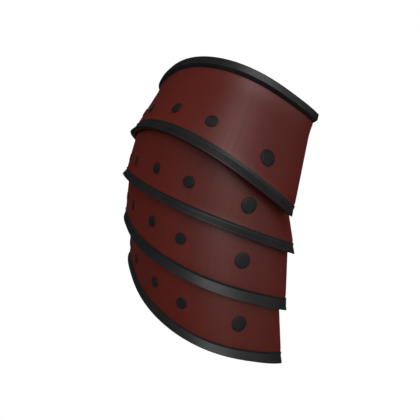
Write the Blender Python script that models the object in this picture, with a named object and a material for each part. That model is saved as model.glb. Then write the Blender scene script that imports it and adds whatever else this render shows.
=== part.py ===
# Pauldron: four overlapping steel lames with raised edge trims, domed rivets and inner leathers.
# The arm's outer side is towards -Y, the wearer's front is towards +X, and the origin is the spot
# inside the top lame that rests on the shoulder.
import bisect
import math

import bmesh
import bpy
import numpy as np
from mathutils import Matrix, Vector

for old in list(bpy.data.objects):
    bpy.data.objects.remove(old, do_unlink=True)

# Driving dimensions are in millimetres and degrees, and make_object turns them into metres.
MM = 0.001

# Each level is a superellipse in a tilted plane: centre y, centre z, tilt over the shoulder,
# depth outwards, half width, and the climb from back to front.
LEVELS = {
    "top_rim": (37.0, 101.0, 26.0, 65.5, 97.0, 0.0),
    "top_foot": (35.0, 95.5, 25.5, 64.0, 95.0, 0.0),
    "foot_1": (13.5, 46.0, 35.0, 71.5, 111.0, 0.5),
    "rim_1": (9.5, 39.5, 35.0, 74.0, 114.0, 1.0),
    "foot_2": (14.5, 18.0, 21.5, 75.5, 106.0, -1.5),
    "rim_2": (12.5, 11.0, 22.5, 78.5, 110.0, -1.0),
    "foot_3": (11.0, -22.0, 21.5, 74.5, 108.0, -1.0),
    "rim_3": (10.0, -30.5, 22.5, 76.5, 111.0, -0.5),
    "foot_4": (10.5, -66.0, 20.5, 70.5, 110.0, 0.0),
    "rim_4": (9.5, -73.5, 22.0, 73.0, 113.0, 0.5),
}
SQUARENESS = 2.7
SHOULDER_SEAT = (0.0, -30.6, 108.4)
WRAP_DEG = 110.5

# Plates. Rows count down a lame from its upper edge; a plate is straight between its steps.
PLATE_THICK = 1.8
PLATE_GAP = 1.6
COLLAR_PART = 0.14
COLLAR_DEPTH = 1.2
STEPS = {1: (0, 1, 2, 2.5, 3, 4), 2: (0, 1, 1.5, 2, 3), 3: (0, 1, 1.5, 2, 3), 4: (0, 1, 1.5, 2, 3)}
FOOT_ROW = {1: 3, 2: 2, 3: 2, 4: 2}
FIT_GAP = 0.45

# Trims: how far they stand proud at the foot and at the rim.
TRIM_FOOT = 1.7
TRIM_RIM = 3.0
TOP_TRIM_RIM = 2.6
TOP_TRIM_ROW = 0.72

# Rivet columns A to D, from the crown to the front edge, and how far down each lame they sit.
TOP_COLUMNS = (9.0, 35.5, 54.0, 84.5)
LOWER_COLUMNS = (11.0, 34.5, 50.5, 80.5)
COLUMN_DEG = {1: TOP_COLUMNS, 2: LOWER_COLUMNS, 3: LOWER_COLUMNS, 4: LOWER_COLUMNS}
RIVET_DOWN = {
    1: (0.75, 0.75, 0.75, 0.75),
    2: (0.67, 0.63, 0.60, 0.46),
    3: (0.54, 0.51, 0.52, 0.47),
    4: (0.58, 0.54, 0.56, 0.52),
}
FACETS_BETWEEN = (2, 4, 3, 5, 4)
HEAD_RADIUS = (4.2, 4.2, 4.2, 5.7)
HEAD_HEIGHT = 1.2
HEAD_SHOULDER = (0.72, 0.8)
SHANK_RADIUS = 1.9
HOLE_RADIUS = 2.3
HOLE_ABOVE = 4.0
HOLE_BELOW = 8.0
BUTTON_RADIUS = 3.1
BUTTON_THICK = 1.1
RIVET_SIDES = 10

# Leathers: the rivet column that each one follows, and the rows at which it is sectioned.
LEATHERS = {"leather_front": 3, "leather_front_inner": 1, "leather_back_inner": -2, "leather_back": -4}
LEATHER_THICK = 2.0
LEATHER_GAP = 0.8
LEATHER_ROWS = {1: (2.4, 2.5, 2.8), 2: (-0.25, 1.0, 1.5, 1.78)}
LEATHER_ROWS[3] = LEATHER_ROWS[4] = LEATHER_ROWS[2]

# Finishes: colour, metallic, roughness.
RED_PAINT = ((0.115, 0.016, 0.012), 0.1, 0.45)
DARK_STEEL = ((0.028, 0.027, 0.028), 0.6, 0.5)
BROWN_LEATHER = ((0.06, 0.03, 0.018), 0.0, 0.75)
PLATE_CREASE_DEG = 35
TRIM_CREASE_DEG = 25
RIVET_CREASE_DEG = 50

# Small steps for reading a slope off the skin: rows, and degrees round the lame.
ROW_STEP = 0.02
TURN_STEP = math.radians(0.25)
BUILT_TURN_STEP = math.radians(1.75)


def spread(turn):
    """Superellipse angle of a turn round the lame, so that even turns give even facets."""
    power = SQUARENESS / 2.0
    sine, cosine = np.sin(turn), np.cos(turn)
    return np.arctan2(np.sign(sine) * np.abs(sine) ** power, np.sign(cosine) * np.abs(cosine) ** power)


def level(name, turn, grow=0.0):
    """Points of a level at turns round the lame: 0 at the outer crown, positive to the front."""
    centre_y, centre_z, tilt, depth, half_width, climb = LEVELS[name]
    angle = spread(np.asarray(turn, float))
    sine, cosine = np.sin(angle), np.cos(angle)
    outward = np.sign(cosine) * np.abs(cosine) ** (2.0 / SQUARENESS) * (depth + grow)
    forward = np.sign(sine) * np.abs(sine) ** (2.0 / SQUARENESS) * (half_width + grow)
    lean = math.radians(tilt)
    height = centre_z + outward * math.sin(lean) + forward * math.tan(math.radians(climb))
    return np.stack([forward, centre_y - outward * math.cos(lean), height], axis=1) - np.array(SHOULDER_SEAT)


def chord(first, second):
    return np.linalg.norm(second - first, axis=1)[:, None]


def tangent(before, here, after, length):
    """Slope at a row from the rows beside it, for a segment of the given length."""
    back, ahead = chord(before, here), chord(here, after)
    return length * ((here - before) / back * ahead + (after - here) / ahead * back) / (back + ahead)


def through(rows, row):
    """Smooth curve through the rows, read at a row number."""
    last = len(rows) - 1
    i = min(max(int(math.floor(row)), 0), last - 1)
    t = row - i
    start, end = rows[i], rows[i + 1]
    leave = arrive = end - start
    if i > 0:
        leave = tangent(rows[i - 1], start, end, chord(start, end))
    if i + 2 <= last:
        arrive = tangent(start, end, rows[i + 2], chord(start, end))
    ease = 2 * t ** 3 - 3 * t ** 2 + 1
    return ease * start + (1 - ease) * end + (t ** 3 - 2 * t ** 2 + t) * leave + (t ** 3 - t ** 2) * arrive


def row_points(lame, turn):
    """The rows that the outer skin of a lame passes through, from its upper to its lower edge."""
    foot, rim = level(f"foot_{lame}", turn), level(f"rim_{lame}", turn, -TRIM_RIM)
    if lame == 1:
        top = level("top_foot", turn)
        outward = np.stack([np.sin(turn), -np.cos(turn), 0 * turn], axis=1)
        collar = top + (foot - top) * COLLAR_PART - COLLAR_DEPTH * outward
        return [level("top_rim", turn, -TOP_TRIM_RIM), top, collar, foot, rim]
    tucked = -PLATE_THICK - PLATE_GAP
    above_foot = level(f"foot_{lame - 1}", turn, tucked)
    above_rim = level(f"rim_{lame - 1}", turn, tucked - TRIM_RIM)
    return [above_foot, above_rim, foot, rim]


def row_normal(lame, row, turn):
    """Outward unit normals of the smooth skin at a row."""
    rows = row_points(lame, turn)
    upper, lower = max(row - ROW_STEP, 0.0), min(row + ROW_STEP, len(rows) - 1)
    down = through(rows, lower) - through(rows, upper)
    round_lame = (through(row_points(lame, turn + TURN_STEP), row)
                  - through(row_points(lame, turn - TURN_STEP), row))
    normal = np.cross(down, round_lame)
    return normal / np.linalg.norm(normal, axis=1)[:, None]


def skin(lame, row, turn, out=0.0):
    """Points on a lame, moved out along its normals; straight between the plate's steps."""
    turn = np.asarray(turn, float)
    steps = STEPS[lame]
    i = min(max(bisect.bisect_right(steps, row) - 1, 0), len(steps) - 2)
    upper, lower = [through(row_points(lame, turn), step) + out * row_normal(lame, step, turn)
                    for step in steps[i:i + 2]]
    share = (row - steps[i]) / (steps[i + 1] - steps[i])
    return upper * (1.0 - share) + lower * share


def facing(lame, row, turn):
    """Outward unit normal of the plate as built, at one turn."""
    down = skin(lame, row + ROW_STEP, [turn]) - skin(lame, row - ROW_STEP, [turn])
    round_lame = skin(lame, row, [turn + BUILT_TURN_STEP]) - skin(lame, row, [turn - BUILT_TURN_STEP])
    normal = np.cross(down[0], round_lame[0])
    return normal / np.linalg.norm(normal)


def side_of(column):
    """Columns 0 to 3 lie in front of the crown, and -1 to -4 mirror them behind it."""
    return column if column >= 0 else -column - 1


def rivet_row(lame, column):
    """Row at which a rivet sits, from its share of the way down the open face of its lame."""
    down = RIVET_DOWN[lame][side_of(column)]
    return 2.0 + (down - COLLAR_PART) / (1.0 - COLLAR_PART) if lame == 1 else 1.0 + down


def column_turn(lame, column):
    turn = math.radians(COLUMN_DEG[lame][side_of(column)])
    return turn if column >= 0 else -turn


def sections_of(lame):
    """Turns at which a lame is sectioned, with every rivet column on one of them."""
    half = [0.0]
    for knot, count in zip((*COLUMN_DEG[lame], WRAP_DEG), FACETS_BETWEEN):
        start = half[-1]
        half += [start + (knot - start) * (i + 1) / count for i in range(count)]
    return np.radians([-turn for turn in reversed(half[1:])] + half)


def material(name, colour, metallic, roughness):
    finish = bpy.data.materials.new(name)
    finish.use_nodes = True
    shader = finish.node_tree.nodes["Principled BSDF"]
    shader.inputs["Base Color"].default_value = (*colour, 1.0)
    shader.inputs["Metallic"].default_value = metallic
    shader.inputs["Roughness"].default_value = roughness
    finish.diffuse_color = (*colour, 1.0)
    return finish


def make_object(name, points, faces, finish, crease_deg):
    """Object from points in millimetres, shaded smooth except across its creases."""
    mesh = bpy.data.meshes.new(name)
    mesh.from_pydata([Vector(point) * MM for point in points], [], faces)
    mesh.update()
    bm = bmesh.new()
    bm.from_mesh(mesh)
    bmesh.ops.recalc_face_normals(bm, faces=bm.faces)
    for face in bm.faces:
        face.smooth = True
    for edge in bm.edges:
        edge.smooth = edge.calc_face_angle(0.0) < math.radians(crease_deg)
    bm.to_mesh(mesh)
    bm.free()
    obj = bpy.data.objects.new(name, mesh)
    bpy.context.scene.collection.objects.link(obj)
    mesh.materials.append(material(name, *finish))
    return obj


def sweep(name, lines, finish, crease_deg):
    """Closed solid between lines that run round the lame side by side, capped at both ends.

    Outer and inner skins get the same diagonals, so that plates that face each other stay parallel.
    """
    around, count = len(lines), len(lines[0])
    points = [tuple(line[i]) for i in range(count) for line in lines]
    faces = []
    for i in range(count - 1):
        for j in range(around):
            a, b = i * around + j, i * around + (j + 1) % around
            c, d = b + around, a + around
            faces += [(a, b, c), (a, c, d)] if j < around // 2 else [(a, b, d), (b, c, d)]
    faces.append(tuple(range(around)))
    faces.append(tuple(range((count - 1) * around, count * around)))
    return make_object(name, points, faces, finish, crease_deg)


def turned(profile, origin, axis):
    """Points and faces of a closed turned solid; the profile is (radius, height) from axis to axis."""
    turn = Vector((0, 0, 1)).rotation_difference(Vector(axis)).to_matrix().to_4x4()
    place = Matrix.Translation(Vector(origin)) @ turn
    points, faces, loops = [], [], []
    for radius, height in profile:
        if radius == 0:
            loops.append([len(points)] * RIVET_SIDES)
            points.append(tuple(place @ Vector((0, 0, height))))
            continue
        loops.append([len(points) + i for i in range(RIVET_SIDES)])
        for i in range(RIVET_SIDES):
            angle = 2 * math.pi * i / RIVET_SIDES
            points.append(tuple(place @ Vector((radius * math.cos(angle), radius * math.sin(angle), height))))
    for lower, upper in zip(loops, loops[1:]):
        for i in range(RIVET_SIDES):
            k = (i + 1) % RIVET_SIDES
            quad = [lower[i], lower[k], upper[k], upper[i]]
            faces.append([corner for n, corner in enumerate(quad) if corner not in quad[:n]])
    return points, faces


def rivet_profile(column):
    """Domed head outside, shank through the plate and any leather, and a flat button inside."""
    grip = PLATE_THICK + LEATHER_GAP
    if column in LEATHERS.values():
        grip += LEATHER_THICK + LEATHER_GAP
    head = HEAD_RADIUS[side_of(column)]
    broad, tall = HEAD_SHOULDER
    return [(0, FIT_GAP + HEAD_HEIGHT), (head * broad, FIT_GAP + HEAD_HEIGHT * tall), (head, FIT_GAP),
            (SHANK_RADIUS, FIT_GAP), (SHANK_RADIUS, -grip), (BUTTON_RADIUS, -grip),
            (BUTTON_RADIUS, -grip - BUTTON_THICK), (0, -grip - BUTTON_THICK)]


def add_rivets(lame):
    """The eight rivets of a lame, front to back, and one hidden cutter with a pin for each hole."""
    hole = [(0, HOLE_ABOVE), (HOLE_RADIUS, HOLE_ABOVE), (HOLE_RADIUS, -HOLE_BELOW), (0, -HOLE_BELOW)]
    cutter_points, cutter_faces = [], []
    for letter, column in zip("abcdefgh", (3, 2, 1, 0, -1, -2, -3, -4)):
        row, turn = rivet_row(lame, column), column_turn(lame, column)
        spot, axis = skin(lame, row, [turn])[0], facing(lame, row, turn)
        points, faces = turned(rivet_profile(column), spot, axis)
        make_object(f"rivet_{lame}{letter}", points, faces, DARK_STEEL, RIVET_CREASE_DEG)
        points, faces = turned(hole, spot, axis)
        cutter_faces += [[corner + len(cutter_points) for corner in face] for face in faces]
        cutter_points += points
    cutter = make_object(f"cutter_{lame}", cutter_points, cutter_faces, DARK_STEEL, RIVET_CREASE_DEG)
    cutter.hide_render = True
    cutter.display_type = "WIRE"
    return cutter


def drill(obj, cutter):
    cut = obj.modifiers.new(cutter.name, "BOOLEAN")
    cut.operation = "DIFFERENCE"
    cut.solver = "EXACT"
    cut.object = cutter


def add_lame(lame):
    """Outer skin from the tucked upper edge to the lower edge, then back along the inner skin."""
    turns = sections_of(lame)
    outer = [skin(lame, row, turns) for row in STEPS[lame]]
    inner = [skin(lame, row, turns, -PLATE_THICK) for row in reversed(STEPS[lame])]
    return sweep(f"lame_{lame}", outer + inner, RED_PAINT, PLATE_CREASE_DEG)


def add_trim(name, lame, corners):
    """Strip round a lame through four corners, each a row and a height above the skin."""
    lines = [skin(lame, row, sections_of(lame), out) for row, out in corners]
    sweep(name, lines, DARK_STEEL, TRIM_CREASE_DEG)


def add_leather(name, column):
    """Strap that follows the inner skins and steps in behind the upper edge of each lame it meets."""
    near, far = PLATE_THICK + LEATHER_GAP, PLATE_THICK + LEATHER_GAP + LEATHER_THICK
    sections = []
    for lame, rows in LEATHER_ROWS.items():
        turns = sections_of(lame)
        middle = int(np.argmin(np.abs(turns - column_turn(lame, column))))
        across = turns[middle - 1:middle + 2]
        for row in rows:
            sections.append([*skin(lame, row, across, -near), *skin(lame, row, across, -far)[::-1]])
    return sweep(name, list(zip(*sections)), BROWN_LEATHER, PLATE_CREASE_DEG)


cutters = [add_rivets(lame) for lame in FOOT_ROW]

for lame, foot in FOOT_ROW.items():
    drill(add_lame(lame), cutters[lame - 1])
    rim = foot + 1
    add_trim(f"trim_{lame}", lame, ((foot, FIT_GAP), (foot, TRIM_FOOT), (rim, TRIM_RIM), (rim, FIT_GAP)))

add_trim("trim_top", 1, ((1, FIT_GAP), (TOP_TRIM_ROW, TOP_TRIM_RIM), (0, TOP_TRIM_RIM), (0, FIT_GAP)))

for name, column in LEATHERS.items():
    leather = add_leather(name, column)
    for cutter in cutters:
        drill(leather, cutter)
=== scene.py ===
# %% [markdown]
# # Dressing a pauldron
# A pauldron is the plate defence of the shoulder and upper arm. This one has four curved plates,
# called lames, that overlap like roof tiles. Each lame ends in a dark raised trim, and flat round rivets
# hold the lames to leathers on the inside, so that the arm can move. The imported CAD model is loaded
# first and never changed. This lesson repeats its sizes, models each visible piece again, smoothly and
# with soft edges, and gives it a finish made of nodes.

# %% Load the fixed frame
import math
import bpy
import numpy as np
from mathutils import Matrix, Vector


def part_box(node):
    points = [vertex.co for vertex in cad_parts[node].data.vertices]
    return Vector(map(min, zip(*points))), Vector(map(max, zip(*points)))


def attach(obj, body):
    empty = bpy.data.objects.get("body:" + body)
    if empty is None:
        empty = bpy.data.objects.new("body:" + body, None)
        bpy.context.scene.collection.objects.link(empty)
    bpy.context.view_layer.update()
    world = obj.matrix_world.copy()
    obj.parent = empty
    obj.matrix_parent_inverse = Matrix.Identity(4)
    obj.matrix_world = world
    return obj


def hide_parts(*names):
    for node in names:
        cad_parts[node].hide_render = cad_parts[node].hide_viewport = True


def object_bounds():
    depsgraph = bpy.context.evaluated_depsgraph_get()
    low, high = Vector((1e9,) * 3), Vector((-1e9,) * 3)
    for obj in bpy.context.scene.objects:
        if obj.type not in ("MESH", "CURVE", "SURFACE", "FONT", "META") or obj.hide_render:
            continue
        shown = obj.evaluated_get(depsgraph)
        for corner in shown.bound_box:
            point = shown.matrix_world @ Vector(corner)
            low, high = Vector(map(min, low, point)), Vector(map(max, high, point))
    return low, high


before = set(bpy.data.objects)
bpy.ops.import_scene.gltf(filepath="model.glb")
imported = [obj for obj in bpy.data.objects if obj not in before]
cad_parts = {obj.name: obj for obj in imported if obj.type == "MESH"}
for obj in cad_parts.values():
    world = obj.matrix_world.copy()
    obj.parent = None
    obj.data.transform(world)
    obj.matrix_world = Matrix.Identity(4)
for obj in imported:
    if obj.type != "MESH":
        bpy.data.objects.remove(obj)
cad_low, cad_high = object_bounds()
MM = 0.001
print("CAD box in mm:", [round(size / MM, 1) for size in cad_high - cad_low])

# %% [markdown]
# ## The camera
# The camera comes first, so that every later step can be judged from one place. It stands in front
# of the wearer, a little higher than the middle of the pauldron, and looks slightly down. It is close,
# so the near end of each lame looks larger than the far end. A camera can be aimed by a constraint, but
# a photo has its own framing and a slight roll. So this one has a place and angles of its own, which
# were fitted to points of the photo.

# %% Camera
CAMERA_PLACE = (264.86, -53.45, -38.58)
CAMERA_AZIMUTH = 68.86
CAMERA_ELEVATION = 12.36
CAMERA_ROLL = 1.41
CAMERA_LENS = 25.714
SENSOR_WIDTH = 36.0
NEAREST_SEEN = 0.01


def way_out(azimuth, elevation):
    """Unit vector away from the pauldron: azimuth 0 is the side worn outwards and 90 is the front."""
    around, up = math.radians(azimuth), math.radians(elevation)
    return Vector((math.sin(around) * math.cos(up), -math.cos(around) * math.cos(up), math.sin(up)))


camera_data = bpy.data.cameras.new("photo_camera")
camera_data.lens = CAMERA_LENS
camera_data.sensor_width = SENSOR_WIDTH
camera_data.clip_start = NEAREST_SEEN
camera = bpy.data.objects.new("photo_camera", camera_data)
bpy.context.scene.collection.objects.link(camera)
turn_to_view = way_out(CAMERA_AZIMUTH, CAMERA_ELEVATION).to_track_quat("Z", "Y").to_matrix()
roll = Matrix.Rotation(math.radians(CAMERA_ROLL), 3, "Z")
camera.matrix_world = Matrix.Translation(Vector(CAMERA_PLACE) * MM) @ (turn_to_view @ roll).to_4x4()
bpy.context.scene.camera = camera
print("camera axes:", [[round(v, 4) for v in row] for row in camera.matrix_world.to_3x3().transposed()])

# %% [markdown]
# ## The edges of the lames
# Seen along the arm, each edge of a lame is a superellipse: an oval with fuller shoulders, as an arm
# guard needs to clear the arm at front and back. Each edge lies in its own plane, tilted over the
# shoulder. The edges could be drawn as curves by hand. A formula is used, because one form then gives
# the plates, the trims, the leathers and the places of the rivets. Its numbers are the CAD model's.

# %% Levels of the lames, in millimetres and degrees
# centre y, centre z, tilt over the shoulder, depth outwards, half width, climb from back to front
LEVELS = {
    "top_rim": (37.0, 101.0, 26.0, 65.5, 97.0, 0.0),
    "top_foot": (35.0, 95.5, 25.5, 64.0, 95.0, 0.0),
    "foot_1": (13.5, 46.0, 35.0, 71.5, 111.0, 0.5),
    "rim_1": (9.5, 39.5, 35.0, 74.0, 114.0, 1.0),
    "foot_2": (14.5, 18.0, 21.5, 75.5, 106.0, -1.5),
    "rim_2": (12.5, 11.0, 22.5, 78.5, 110.0, -1.0),
    "foot_3": (11.0, -22.0, 21.5, 74.5, 108.0, -1.0),
    "rim_3": (10.0, -30.5, 22.5, 76.5, 111.0, -0.5),
    "foot_4": (10.5, -66.0, 20.5, 70.5, 110.0, 0.0),
    "rim_4": (9.5, -73.5, 22.0, 73.0, 113.0, 0.5),
}
SQUARENESS = 2.7
SHOULDER_SEAT = np.array((0.0, -30.6, 108.4))


def level(name, turn, grow=0.0, narrow=0.0):
    """Points of a level at turns round the lame: 0 at the outer crown, positive to the front."""
    centre_y, centre_z, tilt, depth, half_width, climb = LEVELS[name]
    sine, cosine = np.sin(turn), np.cos(turn)
    power = SQUARENESS / 2.0
    angle = np.arctan2(np.sign(sine) * np.abs(sine) ** power, np.sign(cosine) * np.abs(cosine) ** power)
    sine, cosine = np.sin(angle), np.cos(angle)
    outward = np.sign(cosine) * np.abs(cosine) ** (2.0 / SQUARENESS) * (depth + grow)
    forward = np.sign(sine) * np.abs(sine) ** (2.0 / SQUARENESS) * (half_width + grow - narrow)
    lean = math.radians(tilt)
    height = centre_z + outward * math.sin(lean) + forward * math.tan(math.radians(climb))
    return np.stack([forward, centre_y - outward * math.cos(lean), height], axis=1) - SHOULDER_SEAT


crown = level("rim_4", np.array([0.0]))[0]
print("crown of the lowest rim in mm:", np.round(crown, 1))

# %% [markdown]
# ## The rows of a lame
# The skin of a lame passes through a few rows of points, counted down from its upper edge. The upper
# edge of a lower lame is tucked behind the trim of the lame above it. On lame 2 that hidden edge is a
# little narrower than in the CAD model and reaches further round, so that the end of the lame drops
# straight, as it does in the photo. Rivets and leathers keep their own angles round the lame, so a
# helper works back from an angle to the turn that reaches it.

# %% Rows
WRAP = math.radians(110.5)
PLATE_THICK = 1.8
PLATE_GAP = 1.6
TRIM_RIM = 3.0
TOP_TRIM_RIM = 2.6
COLLAR_PART = 0.14
COLLAR_DEPTH = 1.2
UPPER_NARROW = {2: 3.0, 3: 0.0, 4: 0.0}
UPPER_REACH_DEG = {2: (0.0, 14.0), 3: (0.0, 1.0), 4: (0.0, 0.0)}
TURNS_TRIED = 443
CLOSE_TURNS = np.linspace(-WRAP, WRAP, TURNS_TRIED)


def reached(lame, row, turn):
    """Turns of a row, drawn further round towards the ends of the lame's upper part."""
    if lame == 1:
        return turn
    extra = math.radians(np.interp(row, (0, 1, 2), (*UPPER_REACH_DEG[lame], 0.0)))
    return turn + extra * turn * np.abs(turn) / WRAP ** 2


def own_turn(lame, row, angle):
    """The turn whose point of a row lies at an angle round the lame."""
    return np.interp(angle, reached(lame, row, CLOSE_TURNS), CLOSE_TURNS)


def row_points(lame, turn):
    """The rows that the outer skin of a lame passes through, from its upper to its lower edge."""
    foot, rim = level(f"foot_{lame}", turn), level(f"rim_{lame}", turn, -TRIM_RIM)
    if lame == 1:
        top = level("top_foot", turn)
        outward = np.stack([np.sin(turn), -np.cos(turn), 0 * turn], axis=1)
        collar = top + (foot - top) * COLLAR_PART - COLLAR_DEPTH * outward
        return [level("top_rim", turn, -TOP_TRIM_RIM), top, collar, foot, rim]
    tucked = -PLATE_THICK - PLATE_GAP
    narrow = UPPER_NARROW[lame]
    above_foot = level(f"foot_{lame - 1}", reached(lame, 0, turn), tucked, narrow)
    above_rim = level(f"rim_{lame - 1}", reached(lame, 1, turn), tucked - TRIM_RIM, narrow)
    return [above_foot, above_rim, foot, rim]


FOOT_ROW = {1: 3, 2: 2, 3: 2, 4: 2}
print("rows of each lame:", {lame: len(row_points(lame, np.array([0.0]))) for lame in FOOT_ROW})

# %% [markdown]
# ## The skin through the rows
# A plate runs straight from one row to the next, as it would when beaten over a stake. Where it
# changes its slope, the bend is a short round one and not a crease. One smooth curve through all the
# rows would be simpler, but it makes the ends of the plates wave. The cross product of the slopes down
# and round the skin is its normal, along which trims, rivets and leathers are set off from the skin.

# %% Skin of a lame
BEND = 4.0
ROW_STEP = 0.02
TURN_STEP = math.radians(0.25)


def direction(first, second):
    """Unit vectors from points to points, and how far they are apart."""
    way = second - first
    length = np.linalg.norm(way, axis=1)[:, None]
    return way / length, length


def surface(lame, row, turn):
    """Points on the outer skin at one row; each corner between two straight runs is rounded off."""
    rows = row_points(lame, turn)
    run = min(max(int(math.floor(row)), 0), len(rows) - 2)
    ahead, length = direction(rows[run], rows[run + 1])
    points = rows[run] + ahead * length * (row - run)
    for corner, distance in ((run, (row - run) * length), (run + 1, (run + 1 - row) * length)):
        if 0 < corner < len(rows) - 1:
            before = direction(rows[corner - 1], rows[corner])[0]
            after = direction(rows[corner], rows[corner + 1])[0]
            points = points + (after - before) * np.maximum(BEND - distance, 0.0) ** 2 / (4.0 * BEND)
    return points


def normal(lame, row, turn):
    """Outward unit normals of the skin at one row."""
    upper, lower = max(row - ROW_STEP, 0.0), min(row + ROW_STEP, FOOT_ROW[lame] + 1)
    down = surface(lame, lower, turn) - surface(lame, upper, turn)
    along = surface(lame, row, turn + TURN_STEP) - surface(lame, row, turn - TURN_STEP)
    across = np.cross(down, along)
    return across / np.linalg.norm(across, axis=1)[:, None]


def skin(lame, row, turn, out=0.0):
    """Points above the skin at one row, for several turns."""
    turn = np.asarray(turn, float)
    return surface(lame, row, turn) + out * normal(lame, row, turn)


open_middle = FOOT_ROW[1] - 0.5
print("crown of lame 1, halfway down its open face:", np.round(skin(1, open_middle, [0.0])[0], 1))

# %% [markdown]
# ## Selecting
# Blender's operators act on all that is selected, and the loaded CAD solids start out selected. So
# each step first clears the selection and then picks the one piece that it works on.

# %% Selecting helpers
def deselect():
    """Leaves edit mode and clears the selection."""
    if bpy.context.object and bpy.context.object.mode != "OBJECT":
        bpy.ops.object.mode_set(mode="OBJECT")
    bpy.ops.object.select_all(action="DESELECT")


def pick(piece):
    """Selects one piece and makes it the active one."""
    deselect()
    piece.select_set(True)
    bpy.context.view_layer.objects.active = piece


deselect()
print("selected objects:", len(bpy.context.selected_objects))

# %% [markdown]
# ## Measuring along a surface
# Brush strokes run down a plate and grinding marks run along a trim, whatever the curve is. Unwrapping
# by an operator would give a UV map with a scale and a turn of its own. Here the UV map says how many
# metres round and down the sheet each point is, so that a finish can be given in real sizes.

# %% Measures of a grid
ALONG = "along"
GRID_SIZE = 2.0


def distance_along(lines, axis):
    """Distance covered along one axis of a net of points, as the mean over the other axis."""
    steps = np.linalg.norm(np.diff(lines, axis=axis), axis=2)
    return np.insert(np.cumsum(steps.mean(axis=1 - axis)), 0, 0.0)


def crossings(mesh, columns, rows):
    """Column and row of each point of a fresh grid, with row 0 at its upper edge."""
    flat = np.empty(len(mesh.vertices) * 3)
    mesh.vertices.foreach_get("co", flat)
    across, up = flat.reshape(-1, 3)[:, 0] / GRID_SIZE, flat.reshape(-1, 3)[:, 1] / GRID_SIZE
    column = np.rint((across + 0.5) * (columns - 1)).astype(int)
    row = np.rint((0.5 - up) * (rows - 1)).astype(int)
    return column, row


def keep_uvs(mesh, around, down):
    """Writes how far round and down the sheet each point is as the mesh's UV map."""
    layer = mesh.uv_layers[0]
    layer.name = ALONG
    corner = np.empty(len(mesh.loops), dtype=int)
    mesh.loops.foreach_get("vertex_index", corner)
    layer.data.foreach_set("uv", np.stack([around[corner], down[corner]], axis=1).ravel())


crown_line = np.array([skin(1, row, [0.0]) for row in range(FOOT_ROW[1] + 2)])
print("lame 1 measures", round(distance_along(crown_line, 0)[-1], 1), "mm down its crown")

# %% [markdown]
# ## A sheet laid on a form
# An armourer cuts a flat sheet and beats it over a form. Here the flat sheet is a grid primitive. No
# edit mode operator can bring thousands of points to their places on a form like this one, so every
# crossing of the grid is given a line down the lame and a turn round it, and moves to that spot. Each
# point also keeps how far it is from an edge, because paint and steel wear there first.

# %% Sheet
EDGE_GAP = "edge_gap"


def lay_sheet(name, lines, edge_rows=None):
    """A grid whose rows lie on the given lines of points (millimetres), with UVs in metres.

    Each point's distance from the sheet's own edge, or from the nearest of edge_rows, is kept on it.
    """
    lines = np.array(lines) * MM
    rows, columns = lines.shape[:2]
    deselect()
    bpy.ops.mesh.primitive_grid_add(x_subdivisions=columns - 1, y_subdivisions=rows - 1, size=GRID_SIZE)
    piece = bpy.context.object
    piece.name = piece.data.name = name
    column, row = crossings(piece.data, columns, rows)
    piece.data.vertices.foreach_set("co", lines[row, column].ravel())
    around, down = distance_along(lines, 1), distance_along(lines, 0)
    keep_uvs(piece.data, around[column], down[row])
    gap_down = np.minimum(down, down[-1] - down)
    if edge_rows is not None:
        gap_down = np.abs(down[:, None] - down[list(edge_rows)][None, :]).min(axis=1)
    gap_round = np.minimum(around, around[-1] - around)
    edge_gap = piece.data.attributes.new(EDGE_GAP, "FLOAT", "POINT")
    edge_gap.data.foreach_set("value", np.minimum(gap_down[row], gap_round[column]))
    piece.data.update()
    return piece


print("each point of a sheet keeps the attribute", EDGE_GAP)

# %% [markdown]
# ## Thickness and soft edges
# No real edge is perfectly sharp, and a small bevel catches the light as a filed edge does. It could
# be cut by hand with the bevel operator, but a Bevel modifier finds the sharp edges by their angle,
# on a plate and on a rivet alike. It is applied, so that the mesh is final.

# %% Modifier helpers
EDGE_SEGMENTS = 3
SMOOTH_DEG = 40.0


def apply_modifier(piece, kind, **settings):
    """Adds a modifier, sets it and applies it."""
    pick(piece)
    bpy.ops.object.modifier_add(type=kind)
    modifier = piece.modifiers[-1]
    for setting, value in settings.items():
        setattr(modifier, setting, value)
    bpy.ops.object.modifier_apply(modifier=modifier.name)


def thicken(piece, thickness):
    """Gives a sheet its thickness towards the arm."""
    apply_modifier(piece, "SOLIDIFY", thickness=thickness * MM, offset=-1.0, use_even_offset=True)


def soften(piece, width, sharp_deg=30.0):
    """Rounds the sharp edges of a closed piece and shades it smooth."""
    apply_modifier(piece, "BEVEL", width=width * MM, segments=EDGE_SEGMENTS, limit_method="ANGLE",
                   angle_limit=math.radians(sharp_deg), harden_normals=False, use_clamp_overlap=True)
    pick(piece)
    bpy.ops.object.shade_smooth_by_angle(angle=math.radians(SMOOTH_DEG))


def size_note(piece, node):
    """Prints how far a piece's box is from its CAD node's box, in millimetres."""
    low, high = (np.array(corner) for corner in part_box(node))
    points = np.array([vertex.co for vertex in piece.data.vertices])
    off = max(np.abs(points.min(axis=0) - low).max(), np.abs(points.max(axis=0) - high).max())
    print(f"{piece.name}: {len(piece.data.polygons)} faces, box within {off / MM:.2f} mm of {node}")


print("edges get", EDGE_SEGMENTS, "segments")

# %% [markdown]
# ## The lames
# Each lame is one plate of steel about 2 mm thick. It could be cut from a thick block, but a plate is
# a sheet and is made as one: the grid gives its outer skin, a Solidify modifier gives its thickness
# towards the arm, and the bevel takes the sharpness off its edges, as a file does.

# %% Lames
LINES_ROUND = 171
TURNS = np.linspace(-WRAP, WRAP, LINES_ROUND)
PLATE_EDGE = 0.45
TALL_ROWS = 20
SHORT_ROWS = 5


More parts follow.
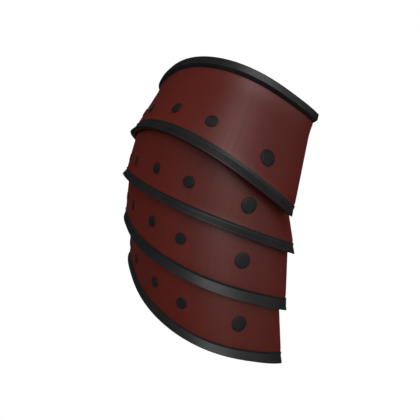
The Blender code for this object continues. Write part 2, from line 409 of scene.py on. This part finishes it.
def rows_of(lame):
    """Row numbers down a lame, close together in the short rows as well as in the tall one."""
    foot = FOOT_ROW[lame]
    numbers = [np.linspace(start, start + 1, SHORT_ROWS, endpoint=False) for start in range(foot - 1)]
    numbers.append(np.linspace(foot - 1, foot, TALL_ROWS, endpoint=False))
    numbers.append(np.linspace(foot, foot + 1, SHORT_ROWS))
    return np.concatenate(numbers)


lames = {}
for lame in FOOT_ROW:
    piece = lay_sheet(f"plate_{lame}", [skin(lame, row, TURNS) for row in rows_of(lame)])
    thicken(piece, PLATE_THICK)
    soften(piece, PLATE_EDGE)
    lames[lame] = piece
    size_note(piece, f"lame_{lame}")

# %% [markdown]
# ## The trims
# A trim is a strip that thickens the edge of a lame and throws water and blades outwards. From its
# upper edge it dips a little, and then it flares to the rim. A curve with a bevel profile would give
# a strip too, but its lean would have to be set point by point. So the grid is rolled round the
# profile, with its last line on its first. Welding the two closes the strip, and its ends are filled.

# %% Trims
WELD = 0.001
TRIM_SEAT = 0.06
TRIM_TOP = 0.7
TRIM_DIP = 0.3
TRIM_DIP_ROW = 0.26
TOP_TRIM_ROW = 0.72
TRIM_EDGE = 0.2
TRIM_SHARP_DEG = 12.0
SIDE_LINES = 4


def weld_strip(piece):
    """Welds the meeting lines of a rolled grid, fills its two ends and turns its faces outwards."""
    pick(piece)
    bpy.ops.object.mode_set(mode="EDIT")
    bpy.ops.mesh.select_mode(type="VERT")
    bpy.ops.mesh.select_all(action="SELECT")
    bpy.ops.mesh.remove_doubles(threshold=WELD * MM)
    bpy.ops.mesh.select_all(action="DESELECT")
    bpy.ops.mesh.select_non_manifold(extend=False)
    bpy.ops.mesh.fill_holes(sides=0)
    bpy.ops.mesh.select_all(action="SELECT")
    bpy.ops.mesh.normals_make_consistent(inside=False)
    bpy.ops.object.mode_set(mode="OBJECT")


def add_trim(name, node, lame, corners):
    """A strip round a lame through corners that are each a row and a height above the skin."""
    closed = list(corners) + [corners[0]]
    steps = [np.linspace(here, there, SIDE_LINES, endpoint=False)
             for here, there in zip(closed, closed[1:])]
    lines = [skin(lame, row, TURNS, out) for row, out in np.concatenate(steps)]
    edge_rows = range(0, len(lines) + 1, SIDE_LINES)
    piece = lay_sheet(name, lines + lines[:1], edge_rows)
    weld_strip(piece)
    soften(piece, TRIM_EDGE, TRIM_SHARP_DEG)
    size_note(piece, node)
    return piece


trims = {}
for lame, foot in FOOT_ROW.items():
    rim = foot + 1
    corners = ((foot, TRIM_SEAT), (foot, TRIM_TOP), (foot + TRIM_DIP_ROW, TRIM_DIP), (rim, TRIM_RIM),
               (rim, TRIM_SEAT))
    trims[f"trim_{lame}"] = add_trim(f"edge_{lame}", f"trim_{lame}", lame, corners)
corners = ((1, TRIM_SEAT), (TOP_TRIM_ROW, TOP_TRIM_RIM), (0, TOP_TRIM_RIM), (0, TRIM_SEAT))
trims["trim_top"] = add_trim("edge_top", "trim_top", 1, corners)

# %% [markdown]
# ## Where the rivets go
# Each lame has a row of eight rivets. Four of them hold it to the leathers, and the other four match
# them. The rivets stand in columns that run down all four lames. The front half has four columns,
# numbered 0 to 3 from the crown, and the back half mirrors them with -1 to -4. Typing 32 places would
# hide that order, so a place is an angle round the lame and a share of the way down its open face. On
# lame 2 the two outer columns stand about two degrees off the CAD model's, nearer to the photo.

# %% Rivet places, in degrees round the lame and shares of its open face
TOP_COLUMNS = (9.0, 35.5, 54.0, 84.5)
SECOND_COLUMNS = (11.0, 34.5, 52.0, 82.7)
LOWER_COLUMNS = (11.0, 34.5, 50.5, 80.5)
COLUMN_DEG = {1: TOP_COLUMNS, 2: SECOND_COLUMNS, 3: LOWER_COLUMNS, 4: LOWER_COLUMNS}
RIVET_DOWN = {
    1: (0.75, 0.75, 0.75, 0.75),
    2: (0.67, 0.63, 0.60, 0.44),
    3: (0.54, 0.51, 0.52, 0.47),
    4: (0.58, 0.54, 0.56, 0.52),
}


def front_column(column):
    """The column of the front half that a column is, or that it mirrors."""
    return column if column >= 0 else -column - 1


def rivet_row(lame, column):
    """Row of a rivet, from its share of the way down the open face of its lame."""
    down = RIVET_DOWN[lame][front_column(column)]
    return 2.0 + (down - COLLAR_PART) / (1.0 - COLLAR_PART) if lame == 1 else 1.0 + down


def column_turn(lame, column):
    """Angle of a column round its lame, below zero in the back half."""
    turn = math.radians(COLUMN_DEG[lame][front_column(column)])
    return turn if column >= 0 else -turn


print("the rivet nearest the crown of lame 2 sits at row", round(rivet_row(2, 0), 2))

# %% [markdown]
# ## A piece from the lathe
# A rivet is round, so its shape is a profile turned about its axis. A spin could turn it, but then its
# two poles have to be closed. So a round face is extruded and scaled, step by step, down the profile,
# which leaves both ends closed from the start.

# %% Round pieces
RIVET_SIDES = 40


def turn_piece(name, profile):
    """A closed round piece at the origin; the profile is (radius, height) from its top downwards."""
    radius, height = profile[0]
    deselect()
    bpy.ops.mesh.primitive_circle_add(vertices=RIVET_SIDES, radius=radius * MM, fill_type="NGON")
    piece = bpy.context.object
    piece.name = piece.data.name = name
    pick(piece)
    bpy.ops.object.mode_set(mode="EDIT")
    bpy.ops.mesh.select_mode(type="FACE")
    bpy.ops.mesh.select_all(action="SELECT")
    bpy.ops.transform.translate(value=(0, 0, height * MM))
    for next_radius, next_height in profile[1:]:
        step = (0, 0, (next_height - height) * MM)
        bpy.ops.mesh.extrude_region_move(TRANSFORM_OT_translate={"value": step})
        share = next_radius / radius
        bpy.ops.transform.resize(value=(share, share, 1), center_override=(0, 0, next_height * MM))
        radius, height = next_radius, next_height
    bpy.ops.mesh.select_all(action="SELECT")
    bpy.ops.mesh.normals_make_consistent(inside=False)
    bpy.ops.object.mode_set(mode="OBJECT")
    return piece


print("round pieces have", RIVET_SIDES, "sides")

# %% [markdown]
# ## The rivets
# A rivet here has a broad, low head, hammered almost flat, and its shank is spread over a small washer
# on the inside. All 32 could be modelled one by one, but what repeats is modelled once and copied.
# There are four kinds: two sizes of head, each with and without a leather in its grip. The heads are a
# little smaller and lower than the CAD model's, which look too bold beside the photo's.

# %% Rivet models
HEAD_RADIUS = (3.8, 3.8, 3.8, 5.2)
LEATHERS = {"leather_front": 3, "leather_front_inner": 1, "leather_back_inner": -2, "leather_back": -4}
LEATHER_THICK = 2.0
LEATHER_GAP = 0.8
HEAD_HEIGHT = 0.7
HEAD_EDGE = 0.24
CROWN_SHARE = 0.6
CROWN_LIFT = 0.12
SHANK_RADIUS = 1.9
WASHER_RADIUS = 3.1
WASHER_THICK = 0.5
PEEN_RADIUS = 2.3
PEEN_TIP_RADIUS = 1.7
PEEN_HEIGHT = 0.6


def model_rivet(head_radius, grip):
    """A rivet with its seat at the origin, its head above it and its spread end at its grip below."""
    top = TRIM_SEAT + HEAD_HEIGHT
    inside = -grip - WASHER_THICK
    piece = turn_piece("rivet_model", (
        (head_radius * CROWN_SHARE, top + CROWN_LIFT), (head_radius, top), (head_radius, TRIM_SEAT),
        (SHANK_RADIUS, TRIM_SEAT), (SHANK_RADIUS, -grip), (WASHER_RADIUS, -grip), (WASHER_RADIUS, inside),
        (PEEN_RADIUS, inside), (PEEN_TIP_RADIUS, inside - PEEN_HEIGHT)))
    soften(piece, HEAD_EDGE)
    return piece


models = {}
for head_radius in sorted(set(HEAD_RADIUS)):
    for leather in (False, True):
        grip = PLATE_THICK + LEATHER_GAP + (LEATHER_THICK + LEATHER_GAP if leather else 0.0)
        models[head_radius, leather] = model_rivet(head_radius, grip)
        print(f"rivet model: head radius {head_radius} mm, grip {grip:.1f} mm")

# %% [markdown]
# ## Setting the rivets
# A smith drives each rivet straight through the plate. So each copy of a model is turned until its
# axis is the normal of the skin, and then moved to its seat. Instances would share one mesh, but each
# rivet stands for its own CAD node, so each copy gets its own mesh with its place in it.

# %% Rivets in place
LETTER_COLUMNS = {"a": 3, "b": 2, "c": 1, "d": 0, "e": -1, "f": -2, "g": -3, "h": -4}
rivets = {}
for lame in FOOT_ROW:
    for letter, column in LETTER_COLUMNS.items():
        model = models[HEAD_RADIUS[front_column(column)], column in LEATHERS.values()]
        row = rivet_row(lame, column)
        turn = np.array([own_turn(lame, row, column_turn(lame, column))])
        seat = Vector(skin(lame, row, turn)[0]) * MM
        axis = Vector(normal(lame, row, turn)[0]).to_track_quat("Z", "Y").to_matrix().to_4x4()
        name = f"{lame}{letter}"
        piece = bpy.data.objects.new(f"stud_{name}", model.data.copy())
        bpy.context.scene.collection.objects.link(piece)
        piece.data.transform(Matrix.Translation(seat) @ axis)
        piece.data.name = piece.name
        rivets[f"rivet_{name}"] = piece
for model in models.values():
    bpy.data.objects.remove(model, do_unlink=True)
print(len(rivets), "rivets")

# %% [markdown]
# ## The leathers
# On the inside, four straps hang from the top lame and carry the others. Each strap is riveted to every
# lame, lies against its inner side and steps inwards past the upper edge of the next. A cloth
# simulation would let it sag, but a strap riveted four times has nowhere to sag to. So a grid is laid
# along its way, and a Solidify modifier gives the hide's thickness.

# %% Leathers
LEATHER_ROWS = {1: (2.4, 2.5, 2.8), 2: (-0.25, 1.0, 1.5, 1.78)}
LEATHER_ROWS[3] = LEATHER_ROWS[4] = LEATHER_ROWS[2]
LEATHER_HALF_DEG = {"leather_front": 6.0, "leather_front_inner": 5.3,
                    "leather_back_inner": 5.3, "leather_back": 6.0}
LEATHER_ACROSS = 13
LEATHER_STEPS = 4
LEATHER_EDGE = 0.5


def strap_line(lame, row, turns):
    """A line across a strap, behind the plate; above the plate's upper edge it goes straight on."""
    def behind(at_row):
        return skin(lame, at_row, own_turn(lame, at_row, turns), -PLATE_THICK - LEATHER_GAP)
    if row >= 0:
        return behind(row)
    edge, below = behind(0), behind(1)
    return edge + (below - edge) * row


straps = {}
for node, column in LEATHERS.items():
    half = math.radians(LEATHER_HALF_DEG[node])
    stops = []
    for lame, rows in LEATHER_ROWS.items():
        turns = column_turn(lame, column) + np.linspace(-half, half, LEATHER_ACROSS)
        stops += [strap_line(lame, row, turns) for row in rows]
    lines = [here + (there - here) * share for here, there in zip(stops, stops[1:])
             for share in np.linspace(0, 1, LEATHER_STEPS, endpoint=False)]
    piece = lay_sheet(node.replace("leather", "strap"), lines + stops[-1:])
    thicken(piece, LEATHER_THICK)
    soften(piece, LEATHER_EDGE)
    straps[node] = piece
    size_note(piece, node)

# %% [markdown]
# ## Working with nodes
# Every finish is made of nodes. They could be placed by hand in the editor, but then the lesson
# couldn't show them. So small helpers add a node, set its sockets and join it to the ones before it,
# and each finish reads as a list of what is on the metal.

# %% Node helpers
def new_finish(name):
    """A new material and its shader."""
    finish = bpy.data.materials.new(name)
    finish.use_nodes = True
    return finish, finish.node_tree.nodes["Principled BSDF"]


def add_node(finish, kind, links=None, **settings):
    """Adds a node; links join its input sockets, and settings set its inputs or properties."""
    made = finish.node_tree.nodes.new(kind)
    for key, value in settings.items():
        if hasattr(made, key):
            setattr(made, key, value)
        else:
            made.inputs[key.replace("_", " ")].default_value = value
    for socket, source in (links or {}).items():
        finish.node_tree.links.new(source, made.inputs[socket])
    return made


def join(finish, source, shader, socket):
    """Links an output to a socket of the shader."""
    finish.node_tree.links.new(source, shader.inputs[socket])


def blend_colours(finish, factor, first, second):
    """Mix of two colours, each given as numbers or as another node's output."""
    mixed = add_node(finish, "ShaderNodeMix", data_type="RGBA")
    finish.node_tree.links.new(factor, mixed.inputs[0])
    for socket, colour in ((mixed.inputs[6], first), (mixed.inputs[7], second)):
        if isinstance(colour, tuple):
            socket.default_value = (*colour, 1.0)
        else:
            finish.node_tree.links.new(colour, socket)
    return mixed.outputs[2]


def add_relief(finish, shader, height, strength, depth):
    """Bump from a pattern, with its depth in millimetres."""
    bump = add_node(finish, "ShaderNodeBump", {"Height": height}, Strength=strength, Distance=depth * MM)
    join(finish, bump.outputs["Normal"], shader, "Normal")


print("node helpers ready")

# %% [markdown]
# ## Patterns
# Brush strokes and grinding marks run along a piece, and age comes in clouds. Both are noise: drawn
# out on the piece's own UV map for strokes, and in the object's own space for clouds. Wear sits on
# the edges, where hands and straps rub, so it reads each point's distance from an edge. An image
# texture could hold all this, but noise stays sharp at any size.

# %% Pattern helpers, with sizes in millimetres
STREAK_DETAIL = 3.0
CLOUD_DETAIL = 4.0
NOISE_LOW = 0.3
NOISE_HIGH = 0.7


def streaks(finish, wide, long):
    """Noise drawn out along the surface: wide and long are its sizes round and down."""
    way = add_node(finish, "ShaderNodeUVMap", uv_map=ALONG)
    stretch = add_node(finish, "ShaderNodeMapping", {"Vector": way.outputs["UV"]})
    stretch.inputs["Scale"].default_value = (1.0 / (wide * MM), 1.0 / (long * MM), 1.0)
    noise = add_node(finish, "ShaderNodeTexNoise", {"Vector": stretch.outputs["Vector"]},
                     Scale=1.0, Detail=STREAK_DETAIL)
    return noise.outputs["Fac"]


def clouds(finish, size):
    """Noise with features of a size, in the object's own space."""
    place = add_node(finish, "ShaderNodeTexCoord")
    noise = add_node(finish, "ShaderNodeTexNoise", {"Vector": place.outputs["Object"]},
                     Scale=1.0 / (size * MM), Detail=CLOUD_DETAIL)
    return noise.outputs["Fac"]


def spread_over(finish, source, low, high):
    """Maps a noise's middle range to new values."""
    ranged = add_node(finish, "ShaderNodeMapRange", {"Value": source}, From_Min=NOISE_LOW,
                      From_Max=NOISE_HIGH, To_Min=low, To_Max=high)
    return ranged.outputs["Result"]


def near_edge(finish, width, strength=1.0):
    """A strength on the piece's edges that fades to nothing over a width."""
    gap = add_node(finish, "ShaderNodeAttribute", attribute_name=EDGE_GAP)
    fade = add_node(finish, "ShaderNodeMapRange", {"Value": gap.outputs["Fac"]}, From_Min=0.0,
                    From_Max=width * MM, To_Min=strength, To_Max=0.0)
    return fade.outputs["Result"]


def worn_edge(finish, width, patch, share):
    """Wear along the edges, broken into patches and nowhere stronger than a share."""
    patches = spread_over(finish, clouds(finish, patch), 0.0, share)
    broken = add_node(finish, "ShaderNodeMath", {0: near_edge(finish, width), 1: patches},
                      operation="MULTIPLY")
    return broken.outputs["Value"]


print("patterns run along the UV map", ALONG, "and the attribute", EDGE_GAP)

# %% [markdown]
# ## The red paint
# The plates carry a dark oxide red. It was brushed on down each plate, so it has faint streaks in that
# direction: fine ones in its colour, its gloss and its relief, and broad pale ones in its colour. Large
# clouds of a lighter and a darker red are its age. Along the edges the paint is thin and the steel
# starts to show. One flat red would be simpler, but it would look like plastic.

# %% Red paint
PAINT_DARK = (0.156, 0.0140, 0.0064)
PAINT_LIGHT = (0.190, 0.0196, 0.0102)
PAINT_DEEP = (0.128, 0.0110, 0.0050)
PAINT_WORN = (0.095, 0.026, 0.019)
PAINT_SHINE = 0.95


def red_paint():
    finish, shader = new_finish("oxide_red_paint")
    fine = streaks(finish, wide=1.6, long=90.0)
    broad = streaks(finish, wide=6.0, long=140.0)
    aged = spread_over(finish, clouds(finish, size=38.0), 0.0, 1.0)
    colour = blend_colours(finish, aged, PAINT_DARK, PAINT_LIGHT)
    colour = blend_colours(finish, spread_over(finish, fine, low=0.0, high=0.55), colour, PAINT_DEEP)
    colour = blend_colours(finish, spread_over(finish, broad, low=0.0, high=0.30), colour, PAINT_LIGHT)
    worn = worn_edge(finish, width=1.2, patch=3.0, share=0.8)
    join(finish, blend_colours(finish, worn, colour, PAINT_WORN), shader, "Base Color")
    join(finish, spread_over(finish, fine, low=0.46, high=0.54), shader, "Roughness")
    add_relief(finish, shader, fine, strength=0.25, depth=0.02)
    shader.inputs["Specular IOR Level"].default_value = PAINT_SHINE
    return finish


oxide_red = red_paint()
print(oxide_red.name, "has", len(oxide_red.node_tree.nodes), "nodes")

# %% [markdown]
# ## The blackened steel
# The trims are steel that was heated and quenched in oil, which leaves a black oxide skin. Bare steel
# would be a metallic shader, but this skin is no bare metal, so it is a nearly black shader with a
# strong, blurred gloss. Fine grinding marks run along each strip, and its edges are rubbed brighter.

# %% Blackened steel
STEEL_DARK = (0.015, 0.015, 0.0155)
STEEL_LIGHT = (0.022, 0.022, 0.0225)
STEEL_BRIGHT = (0.06, 0.06, 0.06)
STEEL_SHINE = 0.95


def black_steel():
    finish, shader = new_finish("blackened_steel")
    grain = streaks(finish, wide=60.0, long=0.5)
    aged = spread_over(finish, clouds(finish, size=14.0), 0.0, 1.0)
    colour = blend_colours(finish, aged, STEEL_DARK, STEEL_LIGHT)
    worn = worn_edge(finish, width=0.6, patch=2.0, share=0.5)
    join(finish, blend_colours(finish, worn, colour, STEEL_BRIGHT), shader, "Base Color")
    join(finish, spread_over(finish, grain, low=0.44, high=0.52), shader, "Roughness")
    add_relief(finish, shader, grain, strength=0.2, depth=0.02)
    shader.inputs["Specular IOR Level"].default_value = STEEL_SHINE
    return finish


blackened = black_steel()
print(blackened.name, "has", len(blackened.node_tree.nodes), "nodes")

# %% [markdown]
# ## The rivet steel
# The rivet heads have the same black skin, but they were hammered and not ground. So they have no
# streaks: small clouds change their gloss, and a fine uneven relief stands for the hammer marks. It
# could be sculpted, but at this size nobody would see more than the broken gloss.

# %% Rivet steel
def rivet_steel():
    finish, shader = new_finish("rivet_steel")
    aged = clouds(finish, size=3.0)
    colour = blend_colours(finish, spread_over(finish, aged, 0.0, 1.0), STEEL_DARK, STEEL_LIGHT)
    join(finish, colour, shader, "Base Color")
    join(finish, spread_over(finish, aged, low=0.45, high=0.58), shader, "Roughness")
    add_relief(finish, shader, clouds(finish, size=1.2), strength=0.3, depth=0.05)
    return finish


hammered = rivet_steel()
print(hammered.name, "has", len(hammered.node_tree.nodes), "nodes")

# %% [markdown]
# ## The leather
# Such straps are usually brown hide. Its grain is a net of fine creases round small pebbles. Noise
# would give it bumps without creases, so the grain is a Voronoi pattern, read by the distance to the
# edges of its cells. The colour changes in soft clouds, and the cut edges are darker, as they are when
# they have been dyed and rubbed.

# %% Leather
HIDE_DARK = (0.030, 0.014, 0.008)
HIDE_LIGHT = (0.075, 0.038, 0.021)
PEBBLE = 1.1


def leather():
    finish, shader = new_finish("strap_leather")
    place = add_node(finish, "ShaderNodeTexCoord")
    grain = add_node(finish, "ShaderNodeTexVoronoi", {"Vector": place.outputs["Object"]},
                     feature="DISTANCE_TO_EDGE", Scale=1.0 / (PEBBLE * MM))
    aged = spread_over(finish, clouds(finish, size=9.0), 0.0, 1.0)
    colour = blend_colours(finish, aged, HIDE_DARK, HIDE_LIGHT)
    dyed = near_edge(finish, width=1.6, strength=0.8)
    join(finish, blend_colours(finish, dyed, colour, HIDE_DARK), shader, "Base Color")
    join(finish, spread_over(finish, clouds(finish, size=5.0), low=0.6, high=0.78), shader, "Roughness")
    add_relief(finish, shader, grain.outputs["Distance"], strength=0.5, depth=0.12)
    return finish


hide = leather()
print(hide.name, "has", len(hide.node_tree.nodes), "nodes")

# %% [markdown]
# ## Each piece gets its finish and its place in the frame
# The new pieces stand for the plain CAD solids, which are hidden and stay for collision. The calls
# could stand beside each piece, but one function makes sure that none is left out. Each piece rides on
# the one body and gets its finish, and its own CAD node is hidden.

# %% Finish, ride and replace
def dress(pieces, finish):
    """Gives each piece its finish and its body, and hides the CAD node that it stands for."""
    for node, piece in pieces.items():
        piece.data.materials.clear()
        piece.data.materials.append(finish)
        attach(piece, "root")
        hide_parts(node)
    print(len(pieces), "pieces in", finish.name)


dress({f"lame_{lame}": piece for lame, piece in lames.items()}, oxide_red)
dress(trims, blackened)
dress(rivets, hammered)
dress(straps, hide)

# %% [markdown]
# ## The floor
# The photo's ground is pure white and has no shadow. A white floor would throw much light up under
# the lames, which the photo doesn't show. So the floor is a dark, dull one for the light that falls on
# it, and the Light Path node lets the camera see it white. It lies well below the pauldron, which
# hangs from the shoulder and doesn't stand on anything.

# %% Floor
FLOOR_DROP = 0.16
FLOOR_SIZE = 40.0
FLOOR_BOUNCE = (0.06, 0.06, 0.06, 1.0)
FLOOR_ROUGHNESS = 0.9
WHITE = 1.0
deselect()
bpy.ops.mesh.primitive_plane_add(size=FLOOR_SIZE, location=(0, 0, cad_low[2] - FLOOR_DROP))
floor = bpy.context.object
floor.name = "floor"
pale, floor_shader = new_finish("pale_floor")
floor_shader.inputs["Base Color"].default_value = FLOOR_BOUNCE
floor_shader.inputs["Roughness"].default_value = FLOOR_ROUGHNESS
floor_shader.inputs["Specular IOR Level"].default_value = 0.0
looked_at = add_node(pale, "ShaderNodeLightPath")
white = add_node(pale, "ShaderNodeEmission", Strength=WHITE)
seen = add_node(pale, "ShaderNodeMixShader", {"Fac": looked_at.outputs["Is Camera Ray"]})
pale.node_tree.links.new(floor_shader.outputs["BSDF"], seen.inputs[1])
pale.node_tree.links.new(white.outputs["Emission"], seen.inputs[2])
join(pale, seen.outputs["Shader"], pale.node_tree.nodes["Material Output"], "Surface")
floor.data.materials.append(pale)
print("floor", round(FLOOR_DROP / MM), "mm below the lowest rim")

# %% [markdown]
# ## The room
# The room is white to the camera, as the photo's ground is, and gives the object only a dim even
# light. Dark glossy surfaces show a room at once, so they mirror still less of it. An image of a
# studio could light it too, but two numbers are easier to judge. The Standard view keeps the colours
# as they are mixed, where a film-like view would fade them.

# %% Room light
ROOM_LIGHT = 0.036
ROOM_MIRRORED = 0.009
scene = bpy.context.scene
scene.view_settings.view_transform = "Standard"
scene.world = bpy.data.worlds.new("studio")
scene.world.use_nodes = True
room = scene.world.node_tree
backdrop = room.nodes["Background"]
backdrop.inputs["Color"].default_value = (WHITE, WHITE, WHITE, 1.0)
ray = room.nodes.new("ShaderNodeLightPath")


def room_strength(kind, strength, otherwise):
    """Strength of the room light for one kind of ray, and otherwise a number or another socket."""
    choose = room.nodes.new("ShaderNodeMix")
    room.links.new(ray.outputs[kind], choose.inputs["Factor"])
    choose.inputs["B"].default_value = strength
    if isinstance(otherwise, float):
        choose.inputs["A"].default_value = otherwise
    else:
        room.links.new(otherwise, choose.inputs["A"])
    return choose.outputs["Result"]


unseen = room_strength("Is Glossy Ray", ROOM_MIRRORED, ROOM_LIGHT)
room.links.new(room_strength("Is Camera Ray", WHITE, unseen), backdrop.inputs["Strength"])
print("room light", ROOM_LIGHT, "and", ROOM_MIRRORED, "in reflections")

# %% [markdown]
# ## The lamps
# Three soft lamps stand in front of the wearer, one high and two low, and their blurred reflection is
# the long pale sheen down the lames. Three wider lamps only fill: from the side worn outwards, from the
# inside and from the wearer's back. They aren't mirrored in the surfaces, because more sheens would
# cross the one that the photo shows. A sun would be simpler, but its shadows are hard. The powers were
# fitted to the photo's shading.

# %% Lamps
LAMP_AIM = Vector((0.0, 0.0, -0.085))
LAMP_DISTANCE = 1.6
NARROW = (1.2, 1.0)
WIDE = (2.4, 2.0)
# azimuth and elevation in degrees, width and height in metres, power in watts, and if it is mirrored
LAMPS = {
    "key": (88, 42, NARROW, 4.7, True),
    "low_key": (104, 14, NARROW, 2.6, True),
    "front": (80, 12, NARROW, 2.1, True),
    "fill": (20, 30, WIDE, 10.0, False),
    "back": (205, 25, WIDE, 12.0, False),
    "far_side": (285, 20, WIDE, 7.0, False),
}

for name, (azimuth, elevation, size, power, mirrored) in LAMPS.items():
    way = way_out(azimuth, elevation)
    data = bpy.data.lights.new(name, "AREA")
    data.shape = "ELLIPSE"
    data.size, data.size_y = size
    data.energy = power
    lamp = bpy.data.objects.new(name, data)
    scene.collection.objects.link(lamp)
    lamp.location = LAMP_AIM + way * LAMP_DISTANCE
    lamp.rotation_mode = "QUATERNION"
    lamp.rotation_quaternion = way.to_track_quat("Z", "Y")
    lamp.visible_glossy = mirrored
print("lit by", len(LAMPS), "lamps")
